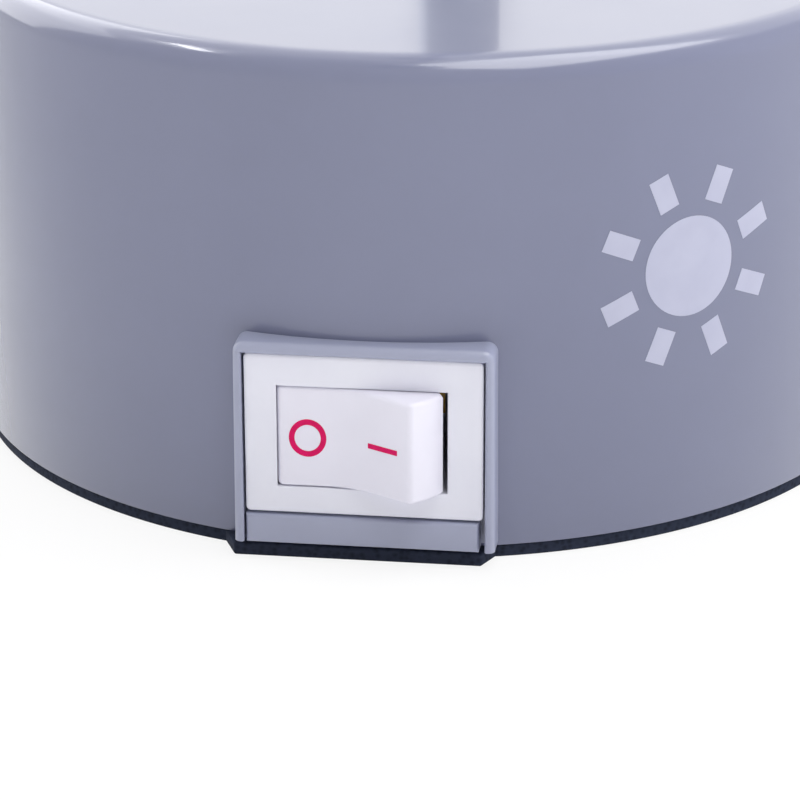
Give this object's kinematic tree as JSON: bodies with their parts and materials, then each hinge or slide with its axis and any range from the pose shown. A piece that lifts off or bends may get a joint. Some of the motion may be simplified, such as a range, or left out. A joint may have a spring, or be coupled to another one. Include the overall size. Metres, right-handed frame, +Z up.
{
  "type": "desk lamp",
  "caption": "Small jointed desk lamp: a weighted round base with a rocker switch, a swivelling stem, a hinged arm and a tilting metal shade.",
  "frame": {"origin": "centre of the round base, on the underside of its foot pad", "axes": "+Z up along the stem, -Y towards the front where the switch faces, +X to the right seen from the front"},
  "size_m": [0.089, 0.221, 0.3234],
  "materials": {
    "grey_abs": "glossy injection moulding",
    "black_plastic": "fine matt texture",
    "knob_plastic": "moulded phenolic, slightly shiny",
    "foam": "closed-cell foam sheet",
    "grommet_pvc": "soft black PVC",
    "zinc_steel": "zinc plated",
    "laminated_steel": "varnished laminations",
    "bobbin_nylon": "natural nylon",
    "primary_copper": "enamelled copper wire",
    "secondary_tape": "wound wire under yellow polyester tape",
    "terminal_nylon": "natural nylon",
    "brass": "plain brass",
    "spring_steel": "bright spring wire",
    "switch_white": "semi-gloss nylon",
    "rocker_white": "semi-gloss nylon with printed marks",
    "satin_tube": "satin nickel on steel tube",
    "satin_fitting": "satin nickel on turned fittings",
    "joint_bolt": "polished steel",
    "washer_nylon": "natural nylon",
    "shade_lacquer": "spun aluminium under grey gloss lacquer",
    "bright_reflector": "bright anodised",
    "ceramic": "steatite ceramic",
    "capsule_glass": "clear quartz glass",
    "pin_metal": "molybdenum and steel pins",
    "front_glass": "clear hardened glass"
  },
  "bodies": {
    "base": {"base_housing": "grey_abs", "base_plate": "black_plastic", "foot_pad": "foam", "plate_screws": "zinc_steel", "transformer_core": "laminated_steel", "transformer_bobbin": "bobbin_nylon", "primary_winding": "primary_copper", "secondary_winding": "secondary_tape", "transformer_bolts": "zinc_steel", "terminal_block": "terminal_nylon", "terminal_screws": "brass", "cord_clamp": "black_plastic", "clamp_screws": "zinc_steel", "cord_grommet": "grommet_pvc", "switch_frame": "switch_white", "switch_terminals": "brass", "switch_sill": "grey_abs", "stem_socket": "satin_fitting", "socket_washer": "zinc_steel", "socket_nut": "zinc_steel"},
    "rocker": {"switch_rocker": "rocker_white", "rocker_plunger": "brass", "rocker_spring": "spring_steel"},
    "contact": {"contact_lever": "brass"},
    "stem": {"stem_tube": "satin_tube", "stem_shoulder": "satin_fitting", "stop_pin": "zinc_steel", "stem_clip": "zinc_steel", "elbow_fork": "satin_fitting", "elbow_bolt": "joint_bolt", "elbow_washers": "washer_nylon"},
    "knob": {"elbow_knob": "knob_plastic"},
    "arm": {"arm_knuckle": "satin_fitting", "arm_tube": "satin_tube", "arm_fork": "satin_fitting", "head_bolt": "joint_bolt", "head_nut": "joint_bolt", "head_washers": "washer_nylon"},
    "head": {"head_knuckle": "satin_fitting", "shade": "shade_lacquer", "shade_screws": "zinc_steel", "reflector": "bright_reflector", "lamp_holder": "ceramic", "holder_bracket": "zinc_steel", "lamp_capsule": "capsule_glass", "lamp_pins": "pin_metal", "front_glass": "front_glass", "glass_ring": "spring_steel"}
  },
  "joints": [
    {"name": "rocker_tilt", "type": "hinge", "parent": "base", "child": "rocker", "pos_m": [-0.0002, -0.0423, 0.01195], "axis": [0, 0, 1], "range_deg": [0, 29]},
    {"name": "contact_tilt", "type": "hinge", "parent": "base", "child": "contact", "pos_m": [-0.0002, -0.03445, 0.01195], "axis": [0, 0, 1], "range_deg": [-10, 0]},
    {"name": "stem_swivel", "type": "hinge", "parent": "base", "child": "stem", "pos_m": [0, 0.026, 0.1], "axis": [0, 0, 1], "range_deg": [-145, 145]},
    {"name": "elbow", "type": "hinge", "parent": "stem", "child": "arm", "pos_m": [0, 0.026, 0.236], "axis": [-1, 0, 0], "range_deg": [-53, 57]},
    {"name": "head_tilt", "type": "hinge", "parent": "arm", "child": "head", "pos_m": [0, -0.12233, 0.31487], "axis": [-1, 0, 0], "range_deg": [-12, 100]},
    {"name": "knob_turn", "type": "hinge", "parent": "stem", "child": "knob", "pos_m": [-0.01, 0.026, 0.236], "axis": [-1, 0, 0], "range_deg": [-180, 0]}
  ],
  "couplings": [
    {"joint": "contact_tilt", "follows": "rocker_tilt", "ratio": -0.34483}
  ]
}
